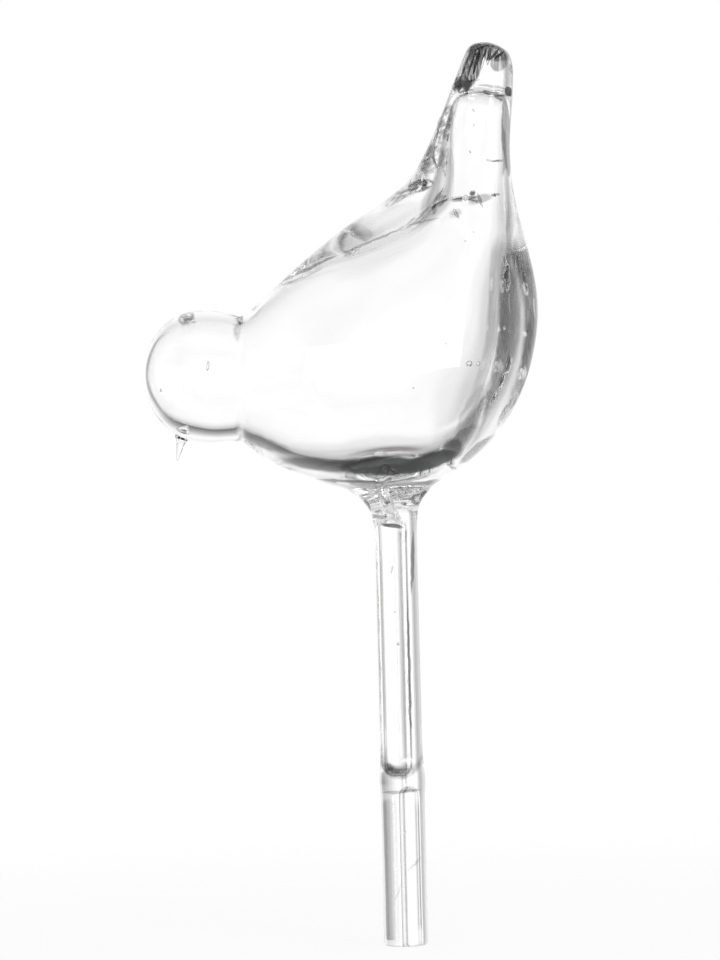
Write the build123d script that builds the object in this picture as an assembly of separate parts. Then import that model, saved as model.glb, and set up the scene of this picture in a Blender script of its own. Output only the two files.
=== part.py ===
"""Bird-shaped plant watering globe in clear blown glass.

The bird is one bubble, drawn out and bent: a round head, a heavy rump and a tail raised almost upright.
A collar welds a long stem to the belly. The stem is pushed into the soil, and the water runs down its bore.
Lengths are in millimetres. The origin is the centre of the stem's mouth, +Z runs up the stem and -X is the
way the bird looks. Both sides of the XZ plane are alike.
"""

from build123d import *
from math import sqrt
import os

# Outside of the bird
bulb_length = 81.6
bulb_height = 123.5
head_length = 26.7
head_diameter = 36.3
neck_diameter = 34.0
neck_setback = 41.0
neck_height = 33.3
tail_round = 3.0

# Glass of the bird
rump_wall = 10.0
back_wall = 8.0
flank_wall = 4.0
head_nose_wall = 2.1
head_wall = 4.2
neck_wall = 3.4
bubble_rise = 0.7
tail_bubble_round = 2.8

# Beak
beak_length = 6.4
beak_root = 2.0
beak_diameter = 4.4
beak_tip_diameter = 0.8

# Stem
belly_height = 122.6
stem_diameter = 12.0
upper_stem_diameter = 11.5
lower_stem_length = 41.0
weld_length = 8.5
weld_bead = 0.2
upper_bore = 5.8
lower_bore = 4.4
drip_bore = 3.0
upper_bore_offset = 0.4
lower_bore_offset = 1.0
drip_bore_offset = 0.5
mouth_round = 1.0

# Collar
collar_height = 7.3
collar_diameter = 23.0
collar_flare = 10.0
collar_bite = 4.0

# How far every cut runs past what it cuts
overrun = 1.0

# Stations of the bird, from the breast to the end of the tail. Each is a plane across the bubble that runs
# from the back to the belly. x is a share of the bulb's length, counted from the neck, and z is a share of
# its height, counted from the lowest point of the belly. Depth is the width from flank to flank, as a share
# of the distance from back to belly.
# back x, back z, belly x, belly z, depth
station_shares = (
    (0.049, 0.423, 0.100, 0.079, 0.985),
    (0.140, 0.479, 0.400, 0.004, 0.960),
    (0.306, 0.571, 0.864, 0.136, 0.920),
    (0.374, 0.602, 0.956, 0.246, 0.910),
    (0.515, 0.664, 0.988, 0.477, 0.920),
    (0.577, 0.696, 0.951, 0.578, 0.930),
    (0.619, 0.739, 0.923, 0.663, 0.940),
    (0.652, 0.783, 0.914, 0.737, 0.940),
    (0.681, 0.827, 0.916, 0.797, 0.930),
    (0.718, 0.886, 0.928, 0.868, 0.910),
    (0.750, 0.930, 0.934, 0.915, 0.880),
    (0.786, 1.007, 0.938, 0.980, 0.850),
)
# Thickness of the glass at each station, as shares of back_wall, rump_wall and flank_wall. The bubble ends
# at the last of them.
wall_shares = (
    (0.29, 0.45, 0.88),
    (0.27, 0.66, 0.92),
    (0.60, 1.00, 1.05),
    (0.76, 1.00, 1.10),
    (1.00, 0.76, 1.00),
    (0.92, 0.48, 0.90),
    (0.72, 0.30, 0.80),
    (0.52, 0.23, 0.75),
    (0.42, 0.23, 0.75),
    (0.42, 0.28, 0.80),
)
# The station that the tail starts at, and how far along the tail its solid tip starts
tail_station = 5
tip_start_share = 0.62

# Head: distance from the nose as a share of its length, and radius as a share of its greatest
head_shares = ((0.115, 0.640), (0.330, 0.935), (0.610, 1.000))
neck_slope_share = 0.22

# Beak: its seat and its heading, from the middle of the head, as shares of the head's radius
beak_seat_shares = (-0.35, -0.86)
beak_heading_shares = (-0.23, -0.97)
beak_tip_round_share = 0.8


def flat(x, z):
    """A point in the plane that both sides of the bird mirror each other in."""
    return Vector(x, 0, z)


# Places that follow from the sizes
neck_x = -neck_setback
neck_z = belly_height + neck_height
nose_x = neck_x - head_length
collar_bottom = belly_height - collar_height
weld_top = lower_stem_length + weld_length


def station_ends(shares):
    """The back end and the belly end of a station."""
    back_x, back_z, belly_x, belly_z, _ = shares
    back = flat(neck_x + back_x * bulb_length, belly_height + back_z * bulb_height)
    belly = flat(neck_x + belly_x * bulb_length, belly_height + belly_z * bulb_height)
    return back, belly


def station_plane(back, belly):
    """The plane through both ends, square to the mirror plane. It faces the tail."""
    up = (back - belly).normalized()
    return Plane(origin=(back + belly) / 2, x_dir=up, z_dir=Vector(0, 1, 0).cross(up))


def ellipse_between(back, belly, width):
    """An elliptical face from back to belly that is width wide from flank to flank."""
    return station_plane(back, belly) * Ellipse((back - belly).length / 2, width / 2)


def neck_circle(diameter, rise=0.0):
    """The round face at the neck."""
    middle = flat(neck_x, neck_z + rise)
    half = flat(0, diameter / 2)
    return ellipse_between(middle + half, middle - half, diameter)


def outer_face(station):
    """The face across the bird at a station."""
    shares = station_shares[station]
    back, belly = station_ends(shares)
    return ellipse_between(back, belly, shares[-1] * (back - belly).length)


def bubble_face(station):
    """The face across the bubble at a station."""
    shares = station_shares[station]
    back_share, belly_share, flank_share = wall_shares[station]
    back, belly = station_ends(shares)
    inwards = (belly - back).normalized()
    width = shares[-1] * (back - belly).length - 2 * flank_share * flank_wall
    return ellipse_between(
        back + inwards * back_share * back_wall,
        belly - inwards * belly_share * rump_wall,
        width,
    )


def rump_loft(neck, station_face):
    """A loft from the neck to the station past the start of the tail."""
    return loft([neck] + [station_face(station) for station in range(tail_station + 2)])


def tail_loft(station_face, count, end_round):
    """A loft from the station before the tail to the last one, with a rounded end."""
    faces = [station_face(station) for station in range(tail_station - 1, count)]
    blank = loft(faces)
    end = blank.faces().sort_by_distance(faces[-1].center())[0]
    return fillet(end.edges(), end_round)


def head_blank(nose, axis_z, radius, neck_radius):
    """The head or its bubble: a solid turned about the axis that runs from the nose to the neck."""
    length = neck_x - nose
    bends = [(along * length, across * radius) for along, across in head_shares]
    side = Spline(
        (0, 0),
        *bends,
        (length, neck_radius),
        tangents=((0, 1), (1, -neck_slope_share)),
    )
    closing = Polyline((length, neck_radius), (length, 0), (0, 0))
    return Pos(nose, 0, axis_z) * revolve(make_face(side + closing), Axis.X)


def upright_rod(diameter, bottom, top, offset=0.0):
    """An upright cylinder between two heights, with its axis offset from the stem's."""
    rod = Cylinder(diameter / 2, top - bottom, align=(Align.CENTER, Align.CENTER, Align.MIN))
    return Pos(offset, 0, bottom) * rod


def make_head(head_outside):
    """The head, hollow and open at the neck."""
    bubble = head_blank(
        nose_x + head_nose_wall,
        neck_z + bubble_rise,
        head_diameter / 2 - head_wall,
        neck_diameter / 2 - neck_wall,
    )
    return head_outside - bubble


def make_beak(head_outside):
    """A drawn point of glass, stuck under the front of the head."""
    seat_x, seat_z = beak_seat_shares
    heading_x, heading_z = beak_heading_shares
    fullest_share, _ = head_shares[-1]
    middle = flat(nose_x + fullest_share * head_length, neck_z)
    seat = middle + flat(seat_x, seat_z) * head_diameter / 2
    heading = flat(heading_x, heading_z).normalized()
    spike = Cone(
        beak_diameter / 2,
        beak_tip_diameter / 2,
        beak_root + beak_length,
        align=(Align.CENTER, Align.CENTER, Align.MIN),
    )
    tip = spike.faces().sort_by(Axis.Z)[-1]
    spike = fillet(tip.edges(), beak_tip_round_share * beak_tip_diameter / 2)
    return Plane(origin=seat - heading * beak_root, z_dir=heading) * spike - head_outside


def make_body(rump_outside, rump_bubble):
    """The neck and rump, with the hole in the belly that the bore comes up through."""
    bore = upright_rod(upper_bore, collar_bottom, neck_z, -upper_bore_offset)
    return rump_outside - rump_bubble - bore


def make_stem_collar(rump_outside):
    """The flare that welds the stem to the belly."""
    low_radius = upper_stem_diameter / 2
    high_radius = collar_diameter / 2
    reach = collar_flare - (high_radius - low_radius)
    rise = sqrt(collar_flare**2 - reach**2)
    start = (low_radius, collar_bottom)
    end = (high_radius, collar_bottom + rise)
    flare = RadiusArc(start, end, collar_flare)
    top = end[1] + collar_bite
    closing = Polyline(end, (high_radius, top), (0, top), (0, collar_bottom), start)
    blank = revolve(Plane.XZ * make_face(flare + closing), Axis.Z)
    bore = upright_rod(upper_bore, collar_bottom - overrun, top + overrun, -upper_bore_offset)
    return blank - rump_outside - bore


def make_upper_stem():
    """The upper tube, from the weld to the collar."""
    blank = upright_rod(upper_stem_diameter, weld_top, collar_bottom)
    bore = upright_rod(upper_bore, weld_top - overrun, collar_bottom + overrun, -upper_bore_offset)
    return blank - bore


def make_drip_weld():
    """The bead that joins both tubes. The hole between its two pockets is narrow and slows the water."""
    low = (stem_diameter / 2, lower_stem_length)
    middle = (stem_diameter / 2 + weld_bead, (lower_stem_length + weld_top) / 2)
    high = (upper_stem_diameter / 2, weld_top)
    bead = ThreePointArc(low, middle, high)
    closing = Polyline(high, (0, weld_top), (0, lower_stem_length), low)
    blank = revolve(Plane.XZ * make_face(bead + closing), Axis.Z)
    upper_pocket = Pos(-upper_bore_offset, 0, weld_top) * Sphere(upper_bore / 2)
    lower_pocket = Pos(lower_bore_offset, 0, lower_stem_length) * Sphere(lower_bore / 2)
    hole = upright_rod(drip_bore, lower_stem_length, weld_top, drip_bore_offset)
    return blank - upper_pocket - lower_pocket - hole


def make_lower_stem():
    """The lower tube, with its fire-polished mouth at the origin."""
    blank = upright_rod(stem_diameter, 0, lower_stem_length)
    mouth = blank.edges().sort_by(Axis.Z)[0]
    bore = upright_rod(lower_bore, -overrun, lower_stem_length + overrun, lower_bore_offset)
    return fillet(mouth, mouth_round) - bore


def main():
    foot_ends = station_ends(station_shares[tail_station])
    end_ends = station_ends(station_shares[-1])
    tip_ends = [foot + (end - foot) * tip_start_share for foot, end in zip(foot_ends, end_ends)]
    tail_plane = station_plane(*foot_ends)
    tip_plane = station_plane(*tip_ends)

    head_outside = head_blank(nose_x, neck_z, head_diameter / 2, neck_diameter / 2)
    rump_outside = rump_loft(neck_circle(neck_diameter), outer_face)
    rump_bubble = rump_loft(neck_circle(neck_diameter - 2 * neck_wall, bubble_rise), bubble_face)
    tail_outside = tail_loft(outer_face, len(station_shares), tail_round)
    tail_bubble = tail_loft(bubble_face, len(wall_shares), tail_bubble_round)

    tail_glass = split(tail_outside, bisect_by=tail_plane, keep=Keep.TOP) - tail_bubble
    pieces = {
        "head": make_head(head_outside),
        "beak": make_beak(head_outside),
        "body": split(make_body(rump_outside, rump_bubble), bisect_by=tail_plane, keep=Keep.BOTTOM),
        "tail": split(tail_glass, bisect_by=tip_plane, keep=Keep.BOTTOM),
        "tail_tip": split(tail_glass, bisect_by=tip_plane, keep=Keep.TOP),
        "stem_collar": make_stem_collar(rump_outside),
        "upper_stem": make_upper_stem(),
        "drip_weld": make_drip_weld(),
        "lower_stem": make_lower_stem(),
    }
    os.makedirs("parts", exist_ok=True)
    for name, piece in pieces.items():
        export_step(piece, f"parts/{name}.step")


main()
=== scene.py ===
from math import acos, atan2, cos, pi, radians, sin

import bmesh
import bpy
import numpy as np
from mathutils import Matrix, Vector, noise


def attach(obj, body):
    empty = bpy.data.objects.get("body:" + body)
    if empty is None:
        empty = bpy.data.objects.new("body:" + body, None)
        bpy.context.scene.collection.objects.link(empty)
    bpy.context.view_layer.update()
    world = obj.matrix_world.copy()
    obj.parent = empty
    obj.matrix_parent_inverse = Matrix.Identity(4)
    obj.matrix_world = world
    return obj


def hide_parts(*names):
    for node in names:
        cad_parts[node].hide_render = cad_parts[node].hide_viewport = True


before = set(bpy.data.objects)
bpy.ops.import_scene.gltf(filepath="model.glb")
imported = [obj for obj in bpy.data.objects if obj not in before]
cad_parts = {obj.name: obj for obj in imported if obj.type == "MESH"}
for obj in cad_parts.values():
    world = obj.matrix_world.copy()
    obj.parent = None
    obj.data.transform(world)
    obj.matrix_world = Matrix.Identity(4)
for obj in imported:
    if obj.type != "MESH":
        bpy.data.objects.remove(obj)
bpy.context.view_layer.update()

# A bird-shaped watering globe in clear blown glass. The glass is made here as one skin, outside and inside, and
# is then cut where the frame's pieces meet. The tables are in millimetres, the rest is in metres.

MM = 0.001

# Rows down the outside of the bird, from the nose to the end of the tail:
# back x, back z, belly x, belly z, width
OUTSIDE_ROWS = (
    (-67.7, 157.0, -67.7, 157.0, 0.0),
    (-67.2, 161.5, -67.2, 152.5, 9.0),
    (-65.7, 166.0, -65.7, 147.6, 18.3),
    (-62.0, 170.7, -61.8, 142.4, 28.2),
    (-57.4, 173.6, -56.8, 139.2, 34.3),
    (-51.2, 174.5, -51.0, 138.2, 36.2),
    (-46.0, 173.8, -46.4, 138.3, 35.4),
    (-42.5, 172.9, -43.2, 138.4, 34.4),
    (-40.8, 172.6, -41.2, 138.3, 34.0),
    (-39.3, 173.3, -39.2, 136.7, 35.8),
    (-37.0, 175.0, -35.6, 133.8, 40.6),
    (-34.4, 177.3, -27.4, 129.5, 47.0),
    (-29.6, 181.7, -14.0, 124.7, 57.0),
    (-24.3, 186.4, 2.0, 122.7, 63.4),
    (-18.6, 191.0, 19.5, 129.6, 66.0),
    (-13.2, 195.1, 31.8, 142.6, 64.6),
    (-7.7, 198.8, 38.0, 156.8, 58.0),
    (-2.4, 202.1, 40.5, 171.0, 49.6),
    (2.4, 205.4, 39.4, 182.6, 41.2),
    (6.1, 208.6, 36.6, 194.0, 31.5),
    (9.5, 213.9, 34.3, 204.5, 24.9),
    (12.2, 219.3, 33.6, 213.6, 20.8),
    (14.6, 224.7, 33.8, 221.0, 18.2),
    (17.5, 231.8, 34.8, 230.0, 15.9),
    (20.6, 239.4, 35.1, 237.6, 13.9),
    (22.3, 243.4, 34.6, 241.2, 12.0),
    (24.5, 245.5, 33.3, 243.4, 8.6),
    (29.3, 245.6, 29.3, 245.6, 0.0),
)

# The same down the inside
BUBBLE_ROWS = (
    (-65.7, 157.3, -65.7, 157.3, 0.0),
    (-65.2, 161.3, -65.2, 153.3, 8.0),
    (-63.3, 165.6, -63.3, 149.0, 16.6),
    (-59.2, 169.5, -59.0, 144.3, 24.8),
    (-52.0, 171.4, -51.6, 142.0, 28.8),
    (-45.6, 170.7, -45.8, 141.9, 28.2),
    (-41.2, 169.9, -41.4, 142.0, 27.4),
    (-37.2, 172.0, -36.4, 139.2, 33.4),
    (-34.4, 174.8, -27.6, 134.5, 39.8),
    (-28.9, 179.6, -14.6, 131.4, 50.0),
    (-22.0, 184.2, -0.4, 130.8, 56.0),
    (-15.6, 187.8, 13.4, 133.4, 58.0),
    (-9.6, 190.2, 24.4, 144.6, 55.0),
    (-2.8, 192.6, 30.8, 161.8, 48.6),
    (4.0, 195.8, 32.6, 177.4, 40.4),
    (9.4, 200.2, 32.8, 188.0, 31.6),
    (12.8, 205.4, 32.3, 196.1, 24.3),
    (14.9, 211.8, 31.5, 205.6, 18.5),
    (16.3, 218.2, 31.4, 214.2, 14.8),
    (17.9, 224.1, 31.4, 221.4, 12.2),
    (19.4, 228.6, 32.0, 227.4, 10.6),
    (21.6, 231.9, 31.2, 230.9, 7.2),
    (26.6, 233.2, 26.6, 233.2, 0.0),
)
RINGS_PER_ROW = 7
BIRD_SIDES = 144
# The sides lie closer together along the back and the belly, where the glass has folds
SIDES_CROWDING = 0.22
# How many times each ring is evened out with its neighbours
SOFTENING = 15

# Outside of the stem and its collar, as radius and height. The last rows lie in the belly's glass.
STEM_OUTSIDE = (
    (0.0, 0.0), (4.6, 0.0), (5.3, 0.12), (5.75, 0.5), (6.0, 1.1), (6.05, 2.4), (6.05, 20.0),
    (6.1, 36.0), (6.15, 39.5), (6.3, 42.0), (6.42, 44.5), (6.36, 46.8), (6.1, 48.8), (5.86, 50.6),
    (5.8, 53.5), (5.78, 80.0), (5.75, 104.0), (5.78, 112.0), (5.95, 115.2), (6.3, 117.6), (6.95, 119.6),
    (8.1, 121.4), (9.6, 122.9), (11.4, 124.2), (11.6, 126.4), (0.0, 126.6),
)
# Bore above the weld, bore below it and the hole between them, each turned about its own upright axis
UPPER_BORE = (
    (0.0, 46.0), (1.2, 46.1), (2.2, 46.7), (2.8, 47.9), (2.95, 49.4), (2.95, 80.0), (2.95, 106.0),
    (2.95, 111.0), (3.05, 113.4), (3.05, 114.6), (2.6, 115.8), (1.9, 117.2), (1.5, 119.0), (1.3, 122.0),
    (1.2, 126.0), (1.2, 129.6), (1.2, 131.0), (1.2, 132.4), (0.0, 132.6),
)
LOWER_BORE = (
    (0.0, 43.7), (0.8, 43.5), (1.5, 42.8), (1.9, 41.8), (2.0, 40.4), (2.0, 20.0), (2.0, 1.2),
    (2.25, 0.3), (2.8, -0.4), (0.0, -1.0),
)
DRIP_HOLE = ((0.0, 42.0), (0.6, 42.0), (0.5, 44.8), (0.7, 47.5), (0.0, 47.5))
UPPER_BORE_X = -0.8 * MM
LOWER_BORE_X = 1.2 * MM
DRIP_HOLE_X = 0.4 * MM
STEM_SIDES = 96

# Beak, as radius and distance from its seat under the front of the head
BEAK_OUTSIDE = (
    (0.0, -2.0), (1.9, -2.0), (2.0, 0.0), (1.5, 0.9), (1.15, 1.9), (0.95, 3.0), (0.7, 4.2), (0.45, 5.4),
    (0.25, 6.2), (0.0, 6.6),
)
BEAK_SEAT = Vector((-57.7, 0, 139.9)) * MM
BEAK_HEADING = Vector((-0.23, 0, -0.97)).normalized()
BEAK_CUT = 0.9 * MM

# Places where the frame's pieces meet
NECK_X = -41.0 * MM
TAIL_FOOT, TAIL_AIM = Vector((21.342, 0, 201.269)) * MM, Vector((0.431, 0, 0.902))
TIP_FOOT, TIP_AIM = Vector((26.3, 0, 228.567)) * MM, Vector((0.367, 0, 0.93))
STEM_CUTS = (
    ("body", 122.0 * MM), ("stem_collar", 115.3 * MM), ("upper_stem", 49.5 * MM), ("drip_weld", 41.0 * MM),
)

# Air in the glass: each row starts with x, z and the depth behind the front face, and ends with a lean in
# degrees. Small round bubbles: x, z, depth, width, height, lean
SEEDS = (
    (-62.3, 152.7, 1.0, 0.8, 1.0, 10), (-49.6, 158.7, 1.2, 0.9, 2.6, 8),
    (20.2, 157.5, 1.3, 2.1, 1.8, 0), (22.6, 157.4, 1.1, 1.5, 1.6, 0), (14.1, 162.8, 1.6, 0.5, 0.6, 0),
    (5.3, 151.3, 1.6, 0.5, 0.5, 0), (20.2, 190.2, 1.2, 0.4, 0.4, 0), (22.5, 192.6, 1.2, 0.5, 0.4, 0),
    (23.8, 226.4, 0.9, 0.5, 1.0, -20), (23.7, 222.3, 0.9, 0.4, 0.8, 10),
    (22.5, 215.0, 0.9, 0.9, 0.5, 60), (28.7, 203.1, 1.0, 1.2, 0.6, 80),
    (22.7, 203.5, 1.2, 1.5, 1.6, 20), (20.8, 202.2, 1.2, 1.2, 2.0, 15), (-2.2, 120.9, 1.4, 1.0, 1.2, 0),
    (2.4, 120.5, 1.4, 0.9, 1.0, 0), (4.7, 116.6, 1.0, 0.9, 1.1, 0), (1.8, 110.2, 1.0, 0.6, 0.9, 0),
    (-1.3, 102.6, 1.0, 0.5, 2.4, 14), (-0.9, 91.1, 1.2, 0.4, 0.7, 0), (-0.2, 82.4, 1.0, 0.7, 1.0, 0),
    (0.4, 31.4, 1.5, 0.5, 0.7, 0), (-10.5, 194.0, 1.0, 1.6, 0.7, 50), (-8.6, 194.9, 1.2, 0.8, 0.6, 30),
)
# Air caught in folds of the glass: x, z, depth, width, thickness, height, lean
BLISTERS = (
    (35.3, 180.0, 4.0, 1.7, 3.0, 7.5, -10), (33.6, 185.0, 3.4, 1.4, 2.0, 5.0, 16),
    (36.3, 156.0, 5.0, 1.3, 3.0, 5.0, 12), (34.3, 151.2, 4.0, 1.2, 3.0, 4.4, 28),
    (32.2, 147.0, 3.0, 1.0, 2.2, 3.6, 38), (35.8, 166.0, 3.0, 1.0, 1.4, 1.4, 8),
    (21.1, 233.6, 3.0, 2.6, 2.4, 3.4, 22), (33.3, 231.3, 2.0, 1.3, 1.6, 2.0, 0),
    (10.2, 206.9, 1.6, 4.0, 1.6, 1.9, 70), (14.7, 224.2, 1.2, 1.0, 1.2, 3.4, 20),
    (13.4, 219.6, 1.4, 1.2, 1.4, 4.4, 12), (11.6, 213.4, 1.4, 2.4, 1.2, 1.4, 30),
    (18.0, 197.7, 1.4, 3.0, 0.9, 1.1, 68), (24.6, 201.6, 1.2, 3.6, 0.8, 0.9, 76),
    (-9.9, 193.4, 1.0, 2.4, 0.8, 1.1, 52), (14.9, 131.6, 3.0, 5.0, 2.0, 2.0, 62),
    (6.6, 130.6, 6.0, 6.4, 3.0, 1.3, 92),
)
# Bubbles drawn out into threads while the tail was pulled: x, z, depth, thickness, length, lean
THREADS = (
    (22.6, 238.8, 2.6, 0.9, 7.0, 19), (24.1, 239.6, 1.6, 0.7, 8.2, 17),
    (25.4, 239.6, 3.2, 1.1, 7.4, 16), (27.0, 240.4, 1.6, 0.8, 6.6, 15),
    (28.4, 241.2, 3.4, 1.0, 5.2, 12), (29.8, 241.6, 2.0, 0.8, 4.2, 40),
    (31.0, 241.4, 2.8, 0.8, 3.6, 52), (26.6, 243.4, 2.0, 0.8, 4.4, 72),
    (24.2, 234.6, 2.2, 0.7, 3.4, 80), (29.4, 243.6, 1.8, 0.6, 3.6, 84),
)
# Hair-thin curved lines of air: centre x, centre z, sweep radius, first and last angle from straight up,
# thickness
HAIRS = (
    (18.9, 189.4, 12.8, -34, 24, 0.75), (29.6, 246.0, 15.6, 168, 192, 0.7),
    (29.0, 222.6, 8.6, -22, 24, 0.6), (29.4, 224.8, 7.2, -26, 20, 0.5),
    (28.6, 219.0, 6.5, 164, 196, 0.5), (18.8, 214.2, 6.0, 236, 300, 0.7),
)
# Depth of the hair-thin lines behind the front face, their sides, the length of a step along them, and the
# fewest steps
HAIR_DEPTH = 0.7 * MM
HAIR_SIDES, HAIR_STEP, HAIR_FEWEST = 8, 0.8, 8
# How uneven a caught fold of air and a thread are, how close together broad and small dents lie in them, and how
# deep the small ones are beside the broad ones
BLISTER_ROUGHNESS, THREAD_ROUGHNESS = 0.5, 0.12
BROAD_DENTS, SMALL_DENTS, SMALL_DENT_SHARE = 1.7, 5, 0.3
# How many times the faces of a pocket's ball are split
POCKET_SPLITS = 3

# Painted shades: the glass's colour is darkened by place, for the dark surroundings that the thick glass
# reflects and bends into view. Broad ones grow towards the front of the bird, fine ones lie on its front half,
# and clear places cut both: x, z, half width, half height, turn in degrees, depth, crispness, look
BROAD_SHADES = (
    (-35.4, 137.8, 9.82, 1.91, 20, 0.42, 2, "plain"), (-20.8, 131.5, 13.64, 2.05, 9, 0.68, 2, "plain"),
    (-2.8, 130.7, 14.73, 3.0, 0, 0.93, 3, "plain"), (9.8, 131.8, 9.27, 2.45, -14, 0.9, 3, "plain"),
    (15.6, 134.7, 3.8, 3.4, -30, 0.72, 2, "plain"), (-13.6, 126.9, 11.45, 0.6, 3, 0.7, 2, "plain"),
    (0.9, 125.5, 16.91, 1.23, 0, 0.5, 2, "plain"), (31.4, 144.9, 1.91, 6.0, 36, 0.5, 3, "mottled"),
    (22.6, 134.5, 1.64, 7.64, 52, 0.55, 3, "plain"), (21.2, 142.7, 4.09, 10.91, 22, 0.25, 4, "plain"),
    (31.8, 170.4, 3.4, 14.0, 0, 0.3, 4, "plain"),
)
FINE_SHADES = (
    (23.9, 238.7, 2.73, 7.91, 18, 0.85, 4, "streaky"),
    (28.3, 242.4, 6.55, 2.73, 14, 0.75, 4, "streaky"),
    (31.3, 239.6, 3.27, 2.45, -45, 0.6, 4, "streaky"),
    (20.8, 233.8, 2.73, 2.73, 20, 0.95, 5, "mottled"), (33.5, 231.6, 1.09, 1.64, 0, 0.9, 5, "plain"),
    (29.2, 232.8, 4.91, 0.49, 8, 0.4, 3, "plain"), (29.1, 230.9, 4.36, 0.6, 10, 0.6, 3, "mottled"),
    (30.8, 230.0, 1.64, 0.82, 8, 0.5, 3, "plain"), (15.9, 223.0, 1.91, 6.55, 18, 0.6, 4, "mottled"),
    (12.1, 213.6, 3.82, 4.64, 25, 0.42, 4, "mottled"), (32.7, 219.3, 1.36, 11.45, -2, 0.55, 8, "plain"),
    (8.9, 206.3, 3.82, 2.18, -12, 0.75, 4, "mottled"), (3.1, 203.2, 6.0, 1.36, -32, 0.45, 3, "mottled"),
    (20.2, 201.9, 4.09, 0.71, -8, 0.5, 3, "plain"), (14.2, 201.0, 2.73, 0.65, -34, 0.5, 3, "plain"),
    (12.3, 199.4, 0.71, 1.64, 10, 0.5, 3, "plain"), (17.9, 197.6, 2.18, 1.09, -24, 0.22, 2, "plain"),
    (24.6, 201.8, 3.82, 1.36, -16, 0.25, 3, "plain"), (22.7, 203.5, 0.87, 0.82, 0, 0.4, 3, "plain"),
    (28.7, 203.1, 0.82, 0.49, 0, 0.6, 4, "plain"), (30.1, 212.6, 2.18, 0.35, -10, 0.35, 3, "plain"),
    (-22.2, 184.4, 10.36, 0.55, -21, 0.55, 3, "plain"),
    (-4.6, 191.1, 9.82, 0.46, -21, 0.45, 3, "plain"), (8.9, 195.9, 5.45, 0.38, -12, 0.3, 3, "plain"),
    (-11.9, 193.2, 1.36, 0.93, -50, 0.6, 4, "mottled"),
    (-9.7, 194.8, 1.09, 0.65, -40, 0.55, 4, "mottled"),
    (-8.3, 193.6, 21.82, 3.82, -24, 0.16, 4, "plain"),
    (-55.5, 172.4, 2.73, 1.91, -40, 0.6, 4, "mottled"),
    (-41.7, 168.8, 1.36, 4.36, 0, 0.2, 3, "mottled"), (-7.7, 120.2, 0.6, 2.18, -30, 0.6, 3, "plain"),
    (-4.3, 116.9, 2.45, 0.52, 5, 0.45, 3, "plain"), (-0.8, 114.5, 3.55, 0.6, 12, 0.6, 3, "plain"),
    (8.2, 122.8, 1.36, 1.09, 0, 0.85, 4, "plain"), (6.0, 121.5, 1.91, 1.64, 0, 0.55, 5, "plain"),
    (-2.2, 120.9, 1.09, 0.55, 0, 0.45, 3, "plain"), (2.4, 120.5, 1.09, 0.55, 0, 0.45, 3, "plain"),
    (4.2, 104.4, 0.55, 9.82, 3, 0.6, 3, "plain"), (2.6, 75.0, 0.49, 23.18, 0, 0.5, 3, "plain"),
    (-5.6, 83.3, 0.49, 30.0, 0, 0.35, 3, "plain"), (-0.2, 52.0, 6.4, 6.9, 0, 0.42, 6, "plain"),
    (-3.9, 48.8, 2.0, 1.5, 35, 0.5, 2, "plain"), (-0.4, 42.3, 6.0, 0.55, -4, 0.4, 3, "plain"),
    (2.9, 22.6, 3.0, 0.41, -42, 0.18, 3, "plain"), (-1.9, 15.1, 3.0, 0.41, -64, 0.15, 3, "plain"),
)
CLEAR_PLACES = (
    (-4.0, 127.4, 13.64, 0.49, 0, 1, 3, "plain"), (28.5, 151.2, 1.77, 9.27, 6, 1, 5, "plain"),
    (36.5, 177.5, 1.09, 2.18, -10, 0.9, 3, "mottled"), (35.7, 165.3, 0.82, 0.82, 0, 1, 4, "plain"),
    (35.2, 154.9, 1.23, 2.18, 20, 0.9, 3, "mottled"), (38.9, 172.3, 0.33, 3.27, 0, 0.6, 3, "plain"),
    (10.9, 208.7, 3.55, 0.76, -5, 1, 4, "plain"), (14.7, 207.8, 2.18, 1.91, -20, 1, 4, "plain"),
    (20.8, 201.9, 0.95, 1.23, 20, 1, 4, "plain"), (26.9, 238.6, 0.65, 2.73, 6, 1, 4, "plain"),
    (6.0, 121.5, 0.82, 0.71, 0, 1, 4, "plain"), (-0.6, 44.2, 3.82, 0.55, -4, 1, 3, "plain"),
    (0.3, 54.2, 6.3, 6.6, 0, 1, 4, "plain"), (18.2, 130.8, 3.0, 0.38, -6, 1, 3, "plain"),
)
# Painted dark edge round the rear, for the dark surroundings that its thick glass shows, outside an arc: centre
# x, centre z, radius, depth and softness, then the angles from level at which it starts, is full, is still full
# and ends
PAINTED_REAR_SHADE = (-13.7, 169.2, 49.6, 0.8, 0.9, (-33, -15, 18, 26))
# What is left of that edge on the back half, and the share of it that streaks
REAR_BACK_SHARE, REAR_STREAKING = 0.5, 0.28
# Every shade goes right through the bird from front to back: half its length that way, in metres
SHADE_LENGTH = 100
# The glass's own clear colour, and the colour of the painted shade at its darkest
CLEAR, DARKEST_PAINTED_SHADE = (0.996, 0.997, 0.997, 1), (0.004, 0.0045, 0.0045, 1)
WHITE = (1, 1, 1, 1)

# Patterns of the glass's waves and drawn lines, and of the painted shades' wandering borders, streaks and
# mottles:
# how many times each repeats in a metre
WANDER_SCALE, MOTTLE_SCALE, WAVE_SCALE = 300.0, 700.0, 60.0
STREAK_SCALE, STREAK_LEAN = (1500, 700, 190), radians(-8)
# Part of each pattern over which a streaky or a mottled shade grows, and the least that a streaky one has
STREAK_RANGE, MOTTLE_RANGE, STREAK_LEAST = (0.36, 0.52), (0.34, 0.54), 0.4
# How far the borders of the shades wander
WANDER = 1.0 * MM
# Distances in front of the middle plane at which fine shades, broad shades and the rear's edge start and are full
FINE_DEPTHS, BROAD_DEPTHS, REAR_DEPTHS = (-0.4 * MM, 0.4 * MM), (0.5 * MM, 11 * MM), (-5 * MM, 5 * MM)

CREASE_ANGLE = radians(38)
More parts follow.
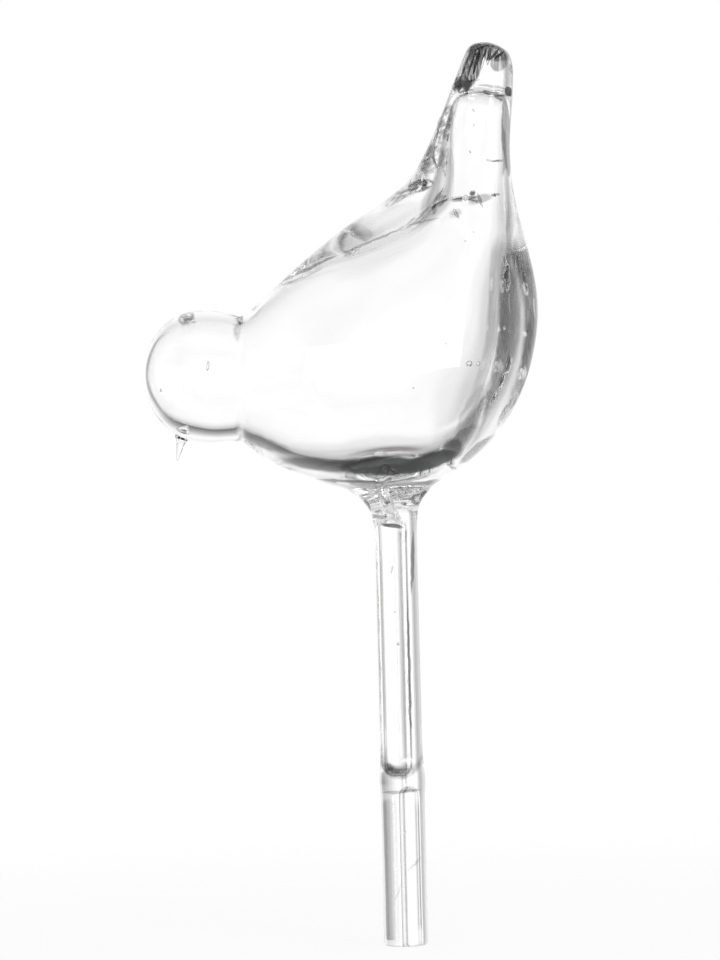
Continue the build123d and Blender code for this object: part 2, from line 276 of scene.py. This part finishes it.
# Points nearer than this are one, and points nearer than the second to a cut lie on it
SAME_POINT, ON_CUT = 1e-6, 1e-8
# The collar leans back towards the breast as it meets the belly, by this times the square of the height
LEAN_START = 112 * MM
COLLAR_LEAN = 9.0
# Where the collar is melted into the belly, how far the heat reaches, and the share of it that is lost by the end
WELD_MIDDLE = Vector((2, 0, 123.5)) * MM
WELD_REACH, WELD_PASSES, HEAT_LOSS = 17 * MM, 14, 0.45


def rings_through(rows):
    """Even rings between the rows of a blown form. Past either end the form goes on as its own mirror image."""
    rows = np.array(rows) * MM
    back, belly, width = rows[:, 0:2], rows[:, 2:4], rows[:, 4:5]
    path = np.hstack(((back + belly) / 2, (back - belly) / 2, width / 2))
    mirror = np.array((1, 1, -1, -1, -1))
    path = np.vstack((path[1] * mirror, path, path[-2] * mirror))
    share = np.linspace(0, 1, RINGS_PER_ROW, endpoint=False)[:, None]
    rings = []
    for a, b, c, d in zip(path, path[1:], path[2:], path[3:]):
        bend = (2 * a - 5 * b + 4 * c - d) * share**2 + (3 * b - a - 3 * c + d) * share**3
        rings.append(b + (c - a) / 2 * share + bend / 2)
    rings = np.vstack((*rings, path[-2]))
    for _ in range(SOFTENING):
        wide = np.vstack((rings[1] * mirror, rings, rings[-2] * mirror))
        rings = (wide[:-2] + 2 * wide[1:-1] + wide[2:]) / 4
    return rings


def blown_form(rows):
    """A closed skin through rings from pole to pole. A ball's parallels are moved to the rings."""
    rings = rings_through(rows)
    steps = len(rings) - 1
    form = bmesh.new()
    bmesh.ops.create_uvsphere(form, u_segments=BIRD_SIDES, v_segments=steps, radius=1)
    for vert in form.verts:
        x, z, up_x, up_z, half_width = rings[round(acos(max(-1, min(1, vert.co.z))) / pi * steps)]
        turn = atan2(vert.co.y, vert.co.x)
        turn -= SIDES_CROWDING * sin(2 * turn)
        vert.co = (x + up_x * cos(turn), half_width * sin(turn), z + up_z * cos(turn))
    bmesh.ops.recalc_face_normals(form, faces=form.faces)
    return form


def turned_form(profile, axis_x=0.0):
    """A closed skin turned about an upright axis. The profile starts and ends on the axis."""
    form = bmesh.new()
    points = [form.verts.new((radius * MM, 0, height * MM)) for radius, height in profile]
    edges = [form.edges.new(pair) for pair in zip(points, points[1:])]
    bmesh.ops.subdivide_edges(form, edges=edges, cuts=2)
    bmesh.ops.spin(form, geom=form.verts[:] + form.edges[:], cent=(0, 0, 0), axis=(0, 0, 1), angle=2 * pi,
                   steps=STEM_SIDES, use_merge=True)
    bmesh.ops.remove_doubles(form, verts=form.verts, dist=SAME_POINT)
    for vert in form.verts:
        vert.co.x += axis_x - COLLAR_LEAN * max(0, vert.co.z - LEAN_START) ** 2
    bmesh.ops.recalc_face_normals(form, faces=form.faces)
    return form


def scratch_object(form, name):
    """An object that holds a form, which is used up."""
    mesh = bpy.data.meshes.new(name)
    form.to_mesh(mesh)
    form.free()
    piece = bpy.data.objects.new(name, mesh)
    bpy.context.scene.collection.objects.link(piece)
    return piece


def joined(first, second, operation):
    """The union or the difference of two closed skins, which are used up."""
    cut = first.modifiers.new("cut", "BOOLEAN")
    cut.operation = operation
    cut.object = second
    cut.solver = "EXACT"
    view = bpy.context.evaluated_depsgraph_get()
    mesh = bpy.data.meshes.new_from_object(first.evaluated_get(view))
    first.modifiers.clear()
    first.data = mesh
    bpy.data.objects.remove(second)
    return first


def placed(form, seat, heading):
    """Turns a form from +Z to its heading and sets it on its seat."""
    turn = heading.to_track_quat("Z", "Y").to_matrix().to_4x4()
    bmesh.ops.transform(form, verts=form.verts, matrix=Matrix.Translation(seat) @ turn)
    return form


def melt(mesh, middle, reach, passes):
    """Softens a crease within reach of a place, as the torch does, least at the edge of the heat."""
    form = bmesh.new()
    form.from_mesh(mesh)
    for step in range(passes):
        heat = reach * (1 - HEAT_LOSS * step / passes)
        hot = [vert for vert in form.verts if (vert.co - middle).length < heat]
        bmesh.ops.smooth_vert(form, verts=hot, factor=0.5, use_axis_x=True, use_axis_y=True, use_axis_z=True)
    form.to_mesh(mesh)
    form.free()


outside = scratch_object(blown_form(OUTSIDE_ROWS), "outside")
outside = joined(outside, scratch_object(turned_form(STEM_OUTSIDE), "stem"), "UNION")
beak_blank = placed(turned_form(BEAK_OUTSIDE), BEAK_SEAT, BEAK_HEADING)
outside = joined(outside, scratch_object(beak_blank, "beak blank"), "UNION")
melt(outside.data, WELD_MIDDLE, WELD_REACH, WELD_PASSES)
inside = scratch_object(blown_form(BUBBLE_ROWS), "inside")
bores = (UPPER_BORE, UPPER_BORE_X), (LOWER_BORE, LOWER_BORE_X), (DRIP_HOLE, DRIP_HOLE_X)
for profile, axis_x in bores:
    inside = joined(inside, scratch_object(turned_form(profile, axis_x), "bore"), "UNION")
glass = joined(outside, inside, "DIFFERENCE")


def with_seeds(piece):
    """The glass as a form, with all its trapped air. Keeps the smooth shading of every corner in a layer."""
    piece.data.shade_smooth()
    piece.data.set_sharp_from_angle(angle=CREASE_ANGLE)
    form = bmesh.new()
    form.from_mesh(piece.data)
    shading = form.loops.layers.float_vector.new("shading")
    normals = piece.data.corner_normals
    corner = 0
    for face in form.faces:
        for loop in face.loops:
            loop[shading] = normals[corner].vector
            corner += 1
    for x, z, depth, wide, tall, lean in SEEDS:
        add_void(form, shading, piece, x, z, depth, (wide, wide, tall), lean, roughness=0)
    for x, z, depth, wide, thick, tall, lean in BLISTERS:
        add_void(form, shading, piece, x, z, depth, (wide, thick, tall), lean, BLISTER_ROUGHNESS)
    for x, z, depth, thick, length, lean in THREADS:
        add_void(form, shading, piece, x, z, depth, (thick, thick, length), lean, THREAD_ROUGHNESS)
    for hair in HAIRS:
        add_hair(form, shading, piece, *hair)
    return form


def front_of(piece, x, z):
    """The front face of the glass at a place, or nothing where there is no glass."""
    hit, place, _, _ = piece.ray_cast(Vector((x, -1, z)), (0, 1, 0))
    return place if hit else None


def turn_inside_out(form, shading, verts):
    """Makes closed shapes that stand in the glass into hollows, with smooth shading."""
    faces = list({face for vert in verts for face in vert.link_faces})
    bmesh.ops.recalc_face_normals(form, faces=faces)
    bmesh.ops.reverse_faces(form, faces=faces)
    for vert in verts:
        vert.normal_update()
    for face in faces:
        face.smooth = True
        for loop in face.loops:
            loop[shading] = loop.vert.normal


def add_void(form, shading, piece, x, z, depth, size, lean, roughness):
    """A pocket of air behind the front face."""
    place = front_of(piece, x * MM, z * MM)
    if place is None:
        return
    middle = Matrix.Translation(place + Vector((0, depth * MM, 0)))
    half_size = [side * MM / 2 for side in size]
    shape = middle @ Matrix.Rotation(radians(lean), 4, "Y") @ Matrix.Diagonal((*half_size, 1))
    ball = bmesh.ops.create_icosphere(form, subdivisions=POCKET_SPLITS, radius=1)
    for vert in ball["verts"]:
        way = vert.co.copy()
        vert.co = way * (1 + roughness * noise.noise(way * BROAD_DENTS + Vector((x, 0, z))))
        vert.co += way * roughness * SMALL_DENT_SHARE * noise.noise(way * SMALL_DENTS + Vector((z, 0, x)))
    bmesh.ops.transform(form, verts=ball["verts"], matrix=shape)
    turn_inside_out(form, shading, ball["verts"])


def add_hair(form, shading, piece, centre_x, centre_z, sweep, first, last, thickness):
    """A bent hair-thin tube of air that follows the front face."""
    middle = Vector((centre_x, 0, centre_z)) * MM
    start = Matrix.Translation(middle) @ Matrix.Rotation(radians(first), 4, "Y")
    start = start @ Matrix.Translation((0, 0, sweep * MM)) @ Matrix.Rotation(radians(90), 4, "Y")
    ring = bmesh.ops.create_circle(form, segments=HAIR_SIDES, radius=thickness * MM / 2, cap_ends=True,
                                   matrix=start)
    steps = max(HAIR_FEWEST, round(abs(last - first) * radians(1) * sweep / HAIR_STEP))
    before = set(form.verts)
    geometry = ring["verts"] + list({edge for vert in ring["verts"] for edge in vert.link_edges})
    geometry += list({face for vert in ring["verts"] for face in vert.link_faces})
    bmesh.ops.spin(form, geom=geometry, cent=middle, axis=(0, 1, 0), angle=radians(last - first), steps=steps)
    verts = ring["verts"] + [vert for vert in form.verts if vert not in before]
    for vert in verts:
        place = front_of(piece, vert.co.x, vert.co.z)
        if place is not None:
            vert.co.y += place.y + HAIR_DEPTH
    turn_inside_out(form, shading, verts)


def side_of(form, point, normal):
    """The part of a form on the side of a plane that its normal points to, closed with a flat cap."""
    part = form.copy()
    bmesh.ops.bisect_plane(part, geom=part.verts[:] + part.edges[:] + part.faces[:], dist=ON_CUT, plane_co=point,
                           plane_no=normal, clear_inner=True)
    rim = [edge for edge in part.edges if edge.is_boundary]
    caps = bmesh.ops.triangle_fill(part, edges=rim, use_beauty=True, use_dissolve=False)["geom"]
    shading = part.loops.layers.float_vector["shading"]
    for face in caps:
        if not isinstance(face, bmesh.types.BMFace):
            continue
        face.normal_update()
        if face.normal.dot(normal) > 0:
            face.normal_flip()
        face.material_index = 1
        face.smooth = False
        for loop in face.loops:
            loop[shading] = -normal
    return part


def parted(form, point, normal):
    """Both parts of a form that a plane cuts: the one ahead of the plane, and the rest. The form is used up."""
    point, normal = Vector(point), Vector(normal).normalized()
    ahead, rest = side_of(form, point, normal), side_of(form, point, -normal)
    form.free()
    return ahead, rest


def finished(form, node, materials):
    """Makes a form, which is used up, into the piece that stands for a node of the frame."""
    mesh = bpy.data.meshes.new(node + "_glass")
    shading = form.loops.layers.float_vector["shading"]
    normals = [loop[shading].normalized() for face in form.faces for loop in face.loops]
    form.to_mesh(mesh)
    form.free()
    mesh.normals_split_custom_set(normals)
    for material in materials:
        mesh.materials.append(material)
    piece = bpy.data.objects.new(node + "_glass", mesh)
    bpy.context.scene.collection.objects.link(piece)
    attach(piece, "root")
    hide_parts(node)


class Wire:
    """An output of a shader node. Sums written on it become Math nodes."""

    def __init__(self, finish, socket):
        self.finish = finish
        self.socket = socket

    def maths(self, operation, first, second):
        return self.finish.maths(operation, first, second)

    def __add__(self, other):
        return self.maths("ADD", self, other)

    def __rsub__(self, other):
        return self.maths("SUBTRACT", other, self)

    def __mul__(self, other):
        return self.maths("MULTIPLY", self, other)

    __radd__ = __add__
    __rmul__ = __mul__


def set_stops(ramp, stops):
    """Gives a ramp its stops, each a place from 0 to 1 and a level of grey. The ends are there already."""
    ramp.interpolation = "EASE"
    for place, _ in stops[1:-1]:
        ramp.elements.new(place)
    for element, (_, level) in zip(ramp.elements, stops):
        element.color = (level, level, level, 1)


class Finish:
    """The nodes of a material or of the world."""

    def __init__(self, owner):
        owner.use_nodes = True
        self.owner = owner
        self.tree = owner.node_tree
        self.tree.nodes.clear()

    def node(self, kind, settings, sockets, output=0):
        """Adds a node, sets it up, and gives its sockets their values or links."""
        made = self.tree.nodes.new(kind)
        for name, value in settings.items():
            if name == "stops":
                set_stops(made.color_ramp, value)
            else:
                setattr(made, name, value)
        for name, value in sockets.items():
            if isinstance(value, Wire):
                self.tree.links.new(value.socket, made.inputs[name])
            else:
                made.inputs[name].default_value = value
        if not made.outputs:
            return None
        return Wire(self, made.outputs[output])

    def maths(self, operation, *numbers):
        """A Math node on one or two numbers."""
        return self.node("ShaderNodeMath", {"operation": operation}, dict(enumerate(numbers)))

    def span(self, value, low, high, to_low=0.0, to_high=1.0, smooth=False):
        """Maps a number from one range to another, and stays in the new one."""
        return self.node("ShaderNodeMapRange", {"interpolation_type": "SMOOTHSTEP" if smooth else "LINEAR"}, {
            "Value": value, "From Min": low, "From Max": high, "To Min": to_low, "To Max": to_high})

    def blend(self, share, first, second):
        """A colour between two."""
        return self.node("ShaderNodeMix", {"data_type": "RGBA"}, {0: share, 6: first, 7: second}, 2)


def split_ways(finish, vector):
    """The three numbers of a vector."""
    parts = finish.node("ShaderNodeSeparateXYZ", {}, {"Vector": vector})
    return [Wire(finish, socket) for socket in parts.socket.node.outputs]


def reach_of(form):
    """The box round a form, as low and high x and z in millimetres."""
    spread = [(vert.co.x / MM, vert.co.z / MM) for vert in form.verts]
    across, upward = zip(*spread)
    return min(across), max(across), min(upward), max(upward)


def near(shades, reach):
    """The shades that touch a box."""
    low_x, high_x, low_z, high_z = reach
    return [shade for shade in shades
            if low_x - max(shade[2:4]) < shade[0] < high_x + max(shade[2:4])
            and low_z - max(shade[2:4]) < shade[1] < high_z + max(shade[2:4])]


def shade_mask(finish, place, looks, shade):
    """How far a painted shade covers a point, from 0 to 1."""
    x, z, half_width, half_height, turn, depth, crispness, look = shade
    inside = finish.node("ShaderNodeMapping", {"vector_type": "TEXTURE"}, {
        "Vector": place,
        "Location": (x * MM, 0, z * MM),
        "Rotation": (0, radians(turn), 0),
        "Scale": (half_width * MM, SHADE_LENGTH, half_height * MM),
    })
    cover = finish.node("ShaderNodeTexGradient", {"gradient_type": "SPHERICAL"}, {"Vector": inside}, "Fac")
    mask = finish.span(cover, 0, 1 / crispness, 0, depth, smooth=True)
    return mask * looks[look] if looks[look] else mask


def rear_shade_mask(finish, place, edge):
    """How far the painted dark edge of the rear covers a point, from 0 to 1."""
    x, z, radius, depth, softness, (start, full, still_full, end) = edge
    centre = (x * MM, 0, z * MM)
    from_centre = finish.node("ShaderNodeVectorMath", {"operation": "SUBTRACT"}, {0: place, 1: centre})
    along, _, up = split_ways(finish, from_centre)
    distance = finish.maths("SQRT", along * along + up * up)
    turn = finish.maths("ARCTAN2", up, along) * (180 / pi)
    beyond = finish.span(distance, (radius - softness) * MM, (radius + softness) * MM, 0, depth, smooth=True)
    below = finish.span(turn, start, full, smooth=True)
    above = finish.span(turn, end, still_full, smooth=True)
    return beyond * below * above


def glass_finish(name, form, waviness, draw_lines):
    """Clear glass with the waves of its making, darkened by the painted shades that fall on a form."""
    reach = reach_of(form)
    finish = Finish(bpy.data.materials.new(name))
    place = finish.node("ShaderNodeTexCoord", {}, {}, "Object")
    wander = finish.node("ShaderNodeTexNoise", {},
                         {"Vector": place, "Scale": WANDER_SCALE, "Detail": 1.0}, "Color")
    wander = finish.node("ShaderNodeVectorMath", {"operation": "SUBTRACT"}, {0: wander, 1: (0.5, 0.5, 0.5)})
    hazy = finish.node("ShaderNodeVectorMath", {"operation": "MULTIPLY_ADD"},
                       {0: wander, 1: (WANDER, 0, WANDER), 2: place})
    drawn = finish.node("ShaderNodeMapping", {},
                        {"Vector": place, "Rotation": (0, STREAK_LEAN, 0), "Scale": STREAK_SCALE})
    streaks = finish.node("ShaderNodeTexNoise", {}, {"Vector": drawn, "Scale": 1.0, "Detail": 3.0}, "Fac")
    mottles = finish.node("ShaderNodeTexNoise", {},
                          {"Vector": place, "Scale": MOTTLE_SCALE, "Detail": 3.0}, "Fac")
    looks = {
        "plain": None,
        "streaky": finish.span(streaks, *STREAK_RANGE, STREAK_LEAST),
        "mottled": finish.span(mottles, *MOTTLE_RANGE),
    }
    _, depth, _ = split_ways(finish, place)
    to_front = depth * -1
    fine_side = finish.span(to_front, *FINE_DEPTHS)
    broad_side = finish.span(to_front, *BROAD_DEPTHS, smooth=True)
    # Painted shade: the glass's colour is darkened by place where the dark surroundings would show in the thick
    # glass
    stays_clear = 1.0
    for shade in near(CLEAR_PLACES, reach):
        stays_clear = stays_clear * (1 - shade_mask(finish, hazy, looks, shade))
    through = 1.0
    for shade in near(BROAD_SHADES, reach):
        through = through * (1 - shade_mask(finish, hazy, looks, shade) * broad_side * stays_clear)
    # Painted dark edge round the rear, weaker on the back half and partly streaked
    if reach[1] > PAINTED_REAR_SHADE[0] and reach[2] < PAINTED_REAR_SHADE[1] < reach[3]:
        rear_side = finish.span(to_front, *REAR_DEPTHS, REAR_BACK_SHARE, smooth=True)
        grain = (1 - REAR_STREAKING) + REAR_STREAKING * looks["streaky"]
        through = through * (1 - rear_shade_mask(finish, hazy, PAINTED_REAR_SHADE) * rear_side * grain * stays_clear)
    for shade in near(FINE_SHADES, reach):
        through = through * (1 - shade_mask(finish, hazy, looks, shade) * fine_side * stays_clear)
    # painted shade: each crossing takes only the root of the colour, so the share that passes is squared
    colour = finish.blend(through * through, DARKEST_PAINTED_SHADE, CLEAR) if isinstance(through, Wire) else CLEAR
    waves = finish.node("ShaderNodeTexNoise", {}, {"Vector": place, "Scale": WAVE_SCALE, "Detail": 1.0}, "Fac")
    relief = finish.node("ShaderNodeBump", {}, {"Strength": 1.0, "Distance": waviness * MM, "Height": waves})
    if draw_lines:
        relief = finish.node("ShaderNodeBump", {},
                             {"Strength": 1.0, "Distance": draw_lines * MM, "Height": streaks, "Normal": relief})
    shader = finish.node("ShaderNodeBsdfPrincipled", {}, {
        "Base Color": colour,
        "Roughness": 0.0,
        "IOR": 1.5,
        "Transmission Weight": 1.0,
        "Normal": relief,
    })
    finish.node("ShaderNodeOutputMaterial", {}, {"Surface": shader})
    return finish.owner


def fused_joint():
    """Where two pieces are one melt. Nothing shows there, and light goes straight on."""
    finish = Finish(bpy.data.materials.new("fused joint"))
    shader = finish.node("ShaderNodeBsdfPrincipled", {}, {"Base Color": WHITE, "Alpha": 0.0})
    finish.node("ShaderNodeOutputMaterial", {}, {"Surface": shader})
    return finish.owner


# Cut the glass into the frame's pieces, from the ends inwards
whole = with_seeds(glass)
bpy.data.objects.remove(glass)
joint = fused_joint()
whole, forward = parted(whole, (NECK_X, 0, 0), (1, 0, 0))
beak, head = parted(forward, BEAK_SEAT + BEAK_HEADING * BEAK_CUT, BEAK_HEADING)
upward, whole = parted(whole, TAIL_FOOT, TAIL_AIM)
tip, tail = parted(upward, TIP_FOOT, TIP_AIM)
pieces = {"head": head, "beak": beak, "tail": tail, "tail_tip": tip}
for node, height in STEM_CUTS:
    pieces[node], whole = parted(whole, (0, 0, height), (0, 0, 1))
pieces["lower_stem"] = whole

# Glass of each piece: its name, how high its waves are, and how deep the lines left by drawing it out are
GLASS_WORK = {
    "head": ("head glass", 0.10, 0), "beak": ("pulled glass", 0.06, 0.012),
    "body": ("belly glass", 0.10, 0), "tail": ("tail glass", 0.16, 0.02),
    "tail_tip": ("pinched glass", 0.22, 0.05), "stem_collar": ("collar glass", 0.04, 0),
    "upper_stem": ("tube glass", 0.08, 0.008), "drip_weld": ("weld glass", 0.16, 0),
    "lower_stem": ("foot tube glass", 0.08, 0.008),
}
for node, form in pieces.items():
    name, waviness, draw_lines = GLASS_WORK[node]
    finished(form, node, (glass_finish(name, form, waviness, draw_lines), joint))

# Camera, at the photo's distance and roll
VIEW_CENTRE = Vector((-9.45, 0, 127.09)) * MM
VIEW_DISTANCE = 1.2
VIEW_HEIGHT = 261.8 * MM
VIEW_ROLL = radians(1.43)
FILM_HEIGHT = 36
camera_data = bpy.data.cameras.new("camera")
camera_data.sensor_width = FILM_HEIGHT
camera_data.lens = FILM_HEIGHT * VIEW_DISTANCE / VIEW_HEIGHT
camera = bpy.data.objects.new("camera", camera_data)
bpy.context.scene.collection.objects.link(camera)
camera.matrix_world = (Matrix.Translation(VIEW_CENTRE - Vector((0, VIEW_DISTANCE, 0)))
                       @ Matrix.Rotation(VIEW_ROLL, 4, "Y") @ Matrix.Rotation(radians(90), 4, "X"))
camera_data.clip_end = 100
bpy.context.scene.camera = camera

# The studio as the glass shows it: how light each card or floor is at an angle, in degrees. Heights are from
# level, turns are from straight ahead.
FLOOR_SHADE = ((-90, 0.8), (-75, 0.7), (-64, 0.5), (-50, 0.14), (-40, 0.30), (-33, 0.48), (-26, 0.68),
               (-21, 0.88), (-15, 1.0))
FLOOR_TURN = ((-180, 1.0), (-150, 1.0), (-136, 0.15), (-112, 0.15), (-95, 1.0), (180, 1.0))
RIGHT_SHADE = ((8, 1.0), (14, 0.86), (22, 0.64), (30, 0.42), (40, 0.25), (48, 0.28), (56, 0.8), (90, 1.0))
RIGHT_HEIGHT = ((-40, 0.0), (-20, 1.0), (-17, 0.8), (-13, 0.1), (-10, 0.8), (-3, 1.0), (3, 0.4), (45, 0.4),
                (60, 0.0))
LEFT_SHADE = ((26, 1.0), (33, 0.6), (38, 0.4), (46, 0.5), (60, 0.75), (90, 1.0))
LEFT_HEIGHT = ((-40, 0.0), (-20, 1.0), (45, 1.0), (60, 0.0))
ROOF_SHADE = ((15, 1.0), (24, 0.9), (45, 0.78), (90, 0.6))
STUDIO_LEVEL = 1.06


def stepped(finish, value, stops):
    """A number that follows another through a few stops, each a pair of the two in rising order."""
    low, high = stops[0][0], stops[-1][0]
    shades = [((place - low) / (high - low), level) for place, level in stops]
    return finish.node("ShaderNodeValToRGB", {"stops": shades}, {"Fac": finish.span(value, low, high)})


world = bpy.data.worlds.new("studio")
bpy.context.scene.world = world
sky = Finish(world)
east, north, height = split_ways(sky, sky.node("ShaderNodeTexCoord", {}, {}, "Generated"))
rise = sky.maths("ARCSINE", height) * (180 / pi)
turn = sky.maths("ARCTAN2", east, north) * (180 / pi)
to_right = sky.maths("ARCTAN2", east, sky.maths("ABSOLUTE", north)) * (180 / pi)
to_left = to_right * -1
floor_shade = 1 - (1 - stepped(sky, rise, FLOOR_SHADE)) * stepped(sky, turn, FLOOR_TURN)
right_shade = 1 - (1 - stepped(sky, to_right, RIGHT_SHADE)) * stepped(sky, rise, RIGHT_HEIGHT)
left_shade = 1 - (1 - stepped(sky, to_left, LEFT_SHADE)) * stepped(sky, rise, LEFT_HEIGHT)
roof_shade = stepped(sky, rise, ROOF_SHADE)
studio = floor_shade * right_shade * left_shade * roof_shade * STUDIO_LEVEL
# The backdrop itself is white
seen = sky.node("ShaderNodeLightPath", {}, {}, "Is Camera Ray")
bright = studio + (1 - studio) * seen
light = sky.node("ShaderNodeBackground", {}, {"Color": WHITE, "Strength": bright})
sky.node("ShaderNodeOutputWorld", {}, {"Surface": light})

# Floor: a pale disc that keeps the shadow and fades out to its edge. Light on its way out of the glass goes by.
FLOOR_RADIUS = 0.42
FLOOR_FADE = (0.10, FLOOR_RADIUS * 0.98)
FLOOR_SIDES = 96
# The share of plain white in what the camera sees of it, its grain, its roughness and what the grain adds to it
FLOOR_WHITE = 0.88
FLOOR_GRAIN, FLOOR_ROUGHNESS, GRAIN_ROUGHNESS = 900.0, 0.4, 0.2
bench = bmesh.new()
bmesh.ops.create_circle(bench, cap_ends=True, segments=FLOOR_SIDES, radius=FLOOR_RADIUS)
bench_mesh = bpy.data.meshes.new("studio_floor")
bench.to_mesh(bench_mesh)
bench.free()
floor = bpy.data.objects.new("studio_floor", bench_mesh)
bpy.context.scene.collection.objects.link(floor)
table = Finish(bpy.data.materials.new("pale table"))
spot = table.node("ShaderNodeTexCoord", {}, {}, "Object")
grain = table.node("ShaderNodeTexNoise", {}, {"Vector": spot, "Scale": FLOOR_GRAIN, "Detail": 2.0}, "Fac")
from_middle = table.node("ShaderNodeVectorMath", {"operation": "LENGTH"}, {0: spot}, "Value")
fade = table.span(from_middle, *FLOOR_FADE, smooth=True)
seen = table.node("ShaderNodeLightPath", {}, {}, "Is Camera Ray")
leaving = table.node("ShaderNodeLightPath", {}, {}, "Is Transmission Ray")
roughness = FLOOR_ROUGHNESS + GRAIN_ROUGHNESS * grain
matt = table.node("ShaderNodeBsdfDiffuse", {}, {"Color": (0.9, 0.9, 0.9, 1), "Roughness": roughness})
white = table.node("ShaderNodeEmission", {}, {"Color": WHITE, "Strength": 1.0})
top = table.node("ShaderNodeMixShader", {}, {0: FLOOR_WHITE * seen, 1: matt, 2: white})
nothing = table.node("ShaderNodeBsdfTransparent", {}, {"Color": WHITE})
gone = table.maths("MAXIMUM", fade, leaving)
table_top = table.node("ShaderNodeMixShader", {}, {0: gone, 1: top, 2: nothing})
table.node("ShaderNodeOutputMaterial", {}, {"Surface": table_top})
bench_mesh.materials.append(table.owner)

# Softbox to the right of the camera
SOFTBOX_PLACE = Vector((0.78, -1.0, -0.02))
SOFTBOX_AIM = Vector((0, 0, 0.155))
SOFTBOX_WIDTH, SOFTBOX_HEIGHT, SOFTBOX_POWER = 0.55, 0.75, 5.5
softbox_data = bpy.data.lights.new("softbox", "AREA")
softbox_data.shape = "RECTANGLE"
softbox_data.size, softbox_data.size_y = SOFTBOX_WIDTH, SOFTBOX_HEIGHT
softbox_data.energy = SOFTBOX_POWER
softbox = bpy.data.objects.new("softbox", softbox_data)
bpy.context.scene.collection.objects.link(softbox)
softbox.matrix_world = (Matrix.Translation(SOFTBOX_AIM + SOFTBOX_PLACE)
                        @ SOFTBOX_PLACE.to_track_quat("Z", "Y").to_matrix().to_4x4())

scene = bpy.context.scene
scene.view_settings.view_transform = "Standard"
# Thick glass needs many bounces, or its inner reflections end black
scene.cycles.glossy_bounces = 48
scene.cycles.transmission_bounces = 48
scene.cycles.max_bounces = 64
scene.cycles.transparent_max_bounces = 32
